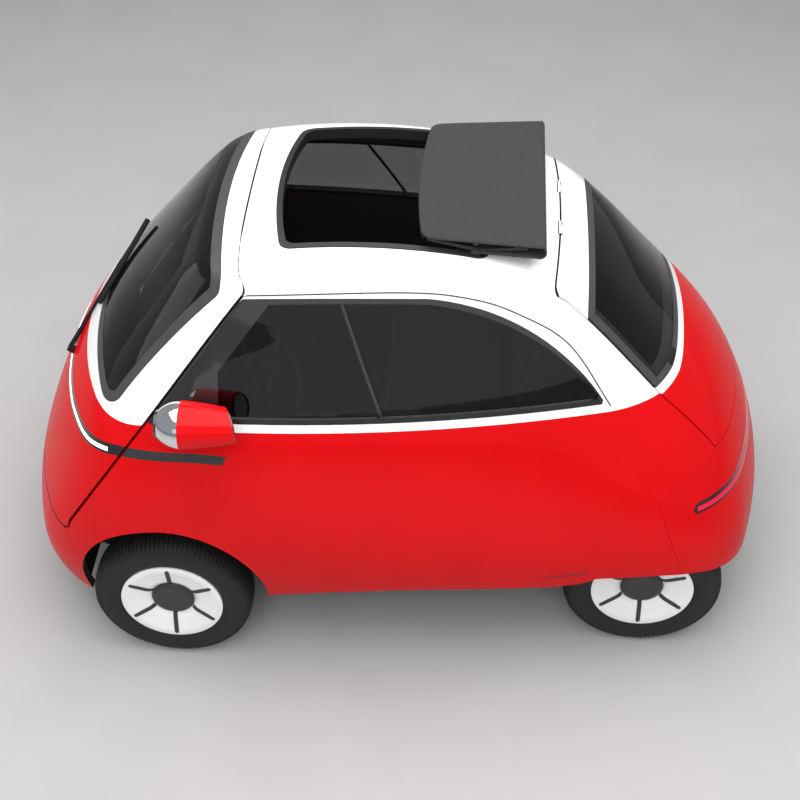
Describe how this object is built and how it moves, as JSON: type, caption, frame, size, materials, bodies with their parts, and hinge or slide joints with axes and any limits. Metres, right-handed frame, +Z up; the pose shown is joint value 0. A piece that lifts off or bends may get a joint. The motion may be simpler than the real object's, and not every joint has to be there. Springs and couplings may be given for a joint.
{
  "type": "two-seat microcar",
  "caption": "Small two-seat electric city car with a front-opening door, side windows, rear tailgate and a folding fabric roof, on steered and driven wheels.",
  "frame": {"origin": "on the floor, below the middle of the car's box", "axes": "the car faces -Y, +X is its left side, +Z is up"},
  "size_m": [1.574, 2.5203, 1.5122],
  "materials": {
    "red_paint": "gloss",
    "white_paint": "gloss",
    "black_gloss": "gloss",
    "satin_trim": "satin",
    "tail_lens": "gloss",
    "tinted_glass": "gloss",
    "clear_glass": "gloss",
    "seal_rubber": "satin",
    "roof_fabric": "matt",
    "underbody": "matt",
    "interior_plastic": "matt",
    "seat_fabric": "matt",
    "battery_case": "satin",
    "motor_metal": "satin",
    "lamp_lens": "gloss",
    "tyre_rubber": "matt",
    "white_wheel": "gloss"
  },
  "bodies": {
    "car_body": {"body_side_left": "red_paint", "body_side_right": "red_paint", "side_bands": "satin_trim", "front_bumper": "red_paint", "rear_bumper": "red_paint", "tail_light": "tail_lens", "roof_frame": "white_paint", "belt_trims": "white_paint", "side_window_frames": "black_gloss", "side_windows": "tinted_glass", "sunroof_seal": "seal_rubber", "fabric_roof": "roof_fabric", "floor_pan": "underbody", "arch_liners": "underbody", "door_sill_beam": "underbody", "luggage_deck": "interior_plastic", "battery_pack": "battery_case", "seat_base": "interior_plastic", "seat_cushion": "seat_fabric", "seat_back": "seat_fabric", "dash_bar": "interior_plastic", "steering_column": "interior_plastic", "lamp_pods": "red_paint", "headlamps": "lamp_lens", "front_axle": "underbody", "rear_axle": "underbody", "drive_motor": "motor_metal"},
    "front_door": {"door_frame": "white_paint", "windscreen": "clear_glass", "door_panel": "red_paint", "front_light_bar": "black_gloss", "door_hinge": "underbody", "wiper": "underbody"},
    "tailgate": {"hatch_frame": "white_paint", "rear_window": "tinted_glass", "hatch_panel": "red_paint"},
    "steering_wheel": {"steering_wheel": "interior_plastic"},
    "knuckle_left": {"knuckle_left": "underbody"},
    "knuckle_right": {"knuckle_right": "underbody"},
    "road_wheel_front_left": {"tyre_front_left": "tyre_rubber", "wheel_front_left": "white_wheel"},
    "road_wheel_front_right": {"tyre_front_right": "tyre_rubber", "wheel_front_right": "white_wheel"},
    "road_wheel_rear_left": {"tyre_rear_left": "tyre_rubber", "wheel_rear_left": "white_wheel"},
    "road_wheel_rear_right": {"tyre_rear_right": "tyre_rubber", "wheel_rear_right": "white_wheel"}
  },
  "joints": [
    {"name": "front_door_hinge", "type": "hinge", "parent": "car_body", "child": "front_door", "pos_m": [0.66, -0.76, 0.74], "axis": [0, 0, 1], "range_deg": [0, 75]},
    {"name": "tailgate_hinge", "type": "hinge", "parent": "car_body", "child": "tailgate", "pos_m": [0, 0.519, 1.411], "axis": [1, 0, 0], "range_deg": [0, 70]},
    {"name": "steer_left", "type": "hinge", "parent": "car_body", "child": "knuckle_left", "pos_m": [0.59, -0.708, 0.266], "axis": [0, 0, 1], "range_deg": [-30, 30]},
    {"name": "steer_right", "type": "hinge", "parent": "car_body", "child": "knuckle_right", "pos_m": [-0.59, -0.708, 0.266], "axis": [0, 0, 1], "range_deg": [-30, 30]},
    {"name": "steering_wheel_turn", "type": "hinge", "parent": "car_body", "child": "steering_wheel", "pos_m": [0.25, -0.385, 0.925], "axis": [0, 0.866, 0.5], "range_deg": [-360, 360]},
    {"name": "spin_front_left", "type": "hinge", "parent": "knuckle_left", "child": "road_wheel_front_left", "pos_m": [0.64, -0.708, 0.266], "axis": [1, 0, 0], "continuous": true},
    {"name": "spin_front_right", "type": "hinge", "parent": "knuckle_right", "child": "road_wheel_front_right", "pos_m": [-0.64, -0.708, 0.266], "axis": [1, 0, 0], "continuous": true},
    {"name": "spin_rear_left", "type": "hinge", "parent": "car_body", "child": "road_wheel_rear_left", "pos_m": [0.504, 0.858, 0.266], "axis": [1, 0, 0], "continuous": true},
    {"name": "spin_rear_right", "type": "hinge", "parent": "car_body", "child": "road_wheel_rear_right", "pos_m": [-0.504, 0.858, 0.266], "axis": [1, 0, 0], "continuous": true}
  ],
  "couplings": [
    {"joint": "steer_right", "follows": "steer_left", "ratio": 1},
    {"joint": "steering_wheel_turn", "follows": "steer_left", "ratio": 12}
  ]
}
